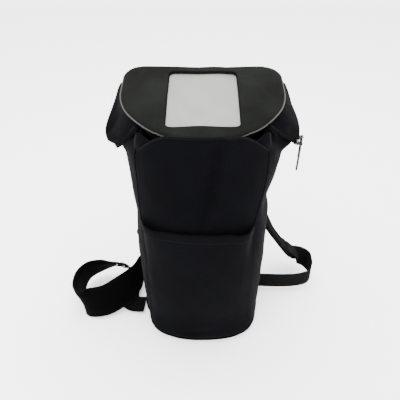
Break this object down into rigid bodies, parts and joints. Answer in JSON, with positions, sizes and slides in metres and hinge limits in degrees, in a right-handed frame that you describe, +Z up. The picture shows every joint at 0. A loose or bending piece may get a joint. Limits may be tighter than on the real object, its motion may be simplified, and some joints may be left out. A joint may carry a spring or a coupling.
{
  "type": "portable oxygen concentrator in carry backpack",
  "caption": "Portable oxygen concentrator carried upright in a soft black backpack with a zipped lid, clear-view window, front pocket and shoulder straps.",
  "frame": {"origin": "on the ground, under the middle of the bag's flat bottom", "axes": "+X to the bag's left as worn (the viewer's right when facing its front), +Y towards the padded back panel and straps, +Z up"},
  "size_m": [0.4942, 0.2261, 0.444],
  "materials": {
    "bag_fabric": "matte",
    "mesh_fabric": "matte",
    "pad_fabric": "matte",
    "lid_fabric": "matte",
    "webbing": "matte",
    "binding": "matte",
    "zip_tape": "matte",
    "piping": "satin",
    "window_vinyl": "satin",
    "board": "matte",
    "buckle": "satin",
    "nickel": "satin",
    "steel": "satin",
    "casing": "satin",
    "casing_grey": "satin",
    "casing_dark": "satin",
    "panel": "satin",
    "lens": "gloss",
    "key": "matte",
    "key_green": "matte",
    "latch": "satin",
    "rubber": "matte",
    "aluminium": "satin",
    "copper": "satin",
    "silicone": "satin",
    "board_green": "satin",
    "foam": "matte"
  },
  "bodies": {
    "bag": {"back_panel": "mesh_fabric", "front_panel": "bag_fabric", "side_panel_left": "bag_fabric", "side_panel_right": "bag_fabric", "bottom_panel": "bag_fabric", "bottom_board": "board", "front_pocket": "bag_fabric", "pocket_hem": "binding", "body_zip_tape": "zip_tape", "grab_handle": "webbing", "shoulder_strap_left": "pad_fabric", "shoulder_strap_right": "pad_fabric", "webbing_left": "webbing", "webbing_right": "webbing", "ladder_lock_left": "buckle", "ladder_lock_right": "buckle", "strap_anchors": "bag_fabric", "casing_front": "casing", "casing_rear": "casing_grey", "casing_screws": "steel", "control_panel": "panel", "display_lens": "lens", "cannula_outlet": "nickel", "battery_pack": "casing_dark", "unit_feet": "rubber", "compressor_body": "aluminium", "cylinder_heads": "aluminium", "sieve_columns": "aluminium", "product_tank": "aluminium", "valve_manifold": "casing_dark", "solenoid_valves": "buckle", "feed_tube": "silicone", "outlet_tube": "silicone", "circuit_board": "board_green", "fan_frame": "buckle", "intake_grille": "casing_grey", "intake_filter": "foam", "dc_socket": "buckle"},
    "lid": {"lid_top": "lid_fabric", "lid_window": "window_vinyl", "lid_piping": "piping", "lid_skirt_front": "bag_fabric", "lid_skirt_left": "bag_fabric", "lid_skirt_right": "bag_fabric", "lid_zip_tape": "zip_tape"},
    "slider_front": {"zip_slider_front": "nickel"},
    "slider_rear": {"zip_slider_rear": "nickel"},
    "pull_front": {"pull_tab_front": "nickel"},
    "pull_rear": {"pull_tab_rear": "nickel"},
    "power_key": {"button_power": "key_green"},
    "plus_key": {"button_plus": "key"},
    "minus_key": {"button_minus": "key"},
    "alarm_key": {"button_alarm": "key"},
    "latch": {"battery_latch": "latch"},
    "rotor": {"motor_rotor": "copper"},
    "fan": {"fan_rotor": "casing_dark"}
  },
  "joints": [
    {"name": "lid_hinge", "type": "hinge", "parent": "bag", "child": "lid", "pos_m": [0, 0.08, 0.444], "axis": [-1, 0, 0], "range_deg": [0, 115]},
    {"name": "slider_front_run", "type": "slide", "parent": "lid", "child": "slider_front", "axis": [-0.6191, -0.6412, 0.4533], "range_m": [0, 0.04]},
    {"name": "pull_front_swing", "type": "hinge", "parent": "slider_front", "child": "pull_front", "pos_m": [0.14854, 0.00281, 0.35078], "axis": [-0.6946, -0.7194, 0], "range_deg": [-8, 80]},
    {"name": "slider_rear_run", "type": "slide", "parent": "lid", "child": "slider_rear", "axis": [-0.2017, 0.5245, 0.8271], "range_m": [0, 0.022]},
    {"name": "pull_rear_swing", "type": "hinge", "parent": "slider_rear", "child": "pull_rear", "pos_m": [0.15396, 0.02152, 0.35414], "axis": [0.359, -0.9333, 0], "range_deg": [-8, 80]},
    {"name": "power_press", "type": "slide", "parent": "bag", "child": "power_key", "axis": [0, 0, -1], "range_m": [0, 0.0012], "stiffness_N_per_m": 900},
    {"name": "plus_press", "type": "slide", "parent": "bag", "child": "plus_key", "axis": [0, 0, -1], "range_m": [0, 0.0012], "stiffness_N_per_m": 900},
    {"name": "minus_press", "type": "slide", "parent": "bag", "child": "minus_key", "axis": [0, 0, -1], "range_m": [0, 0.0012], "stiffness_N_per_m": 900},
    {"name": "alarm_press", "type": "slide", "parent": "bag", "child": "alarm_key", "axis": [0, 0, -1], "range_m": [0, 0.0012], "stiffness_N_per_m": 900},
    {"name": "latch_slide", "type": "slide", "parent": "bag", "child": "latch", "axis": [0, 0, -1], "range_m": [0, 0.006], "stiffness_N_per_m": 400},
    {"name": "motor_spin", "type": "hinge", "parent": "bag", "child": "rotor", "pos_m": [-0.024, 0, 0.1], "axis": [0, 0, 1], "continuous": true},
    {"name": "fan_spin", "type": "hinge", "parent": "bag", "child": "fan", "pos_m": [-0.083, 0, 0.18], "axis": [1, 0, 0], "continuous": true}
  ]
}
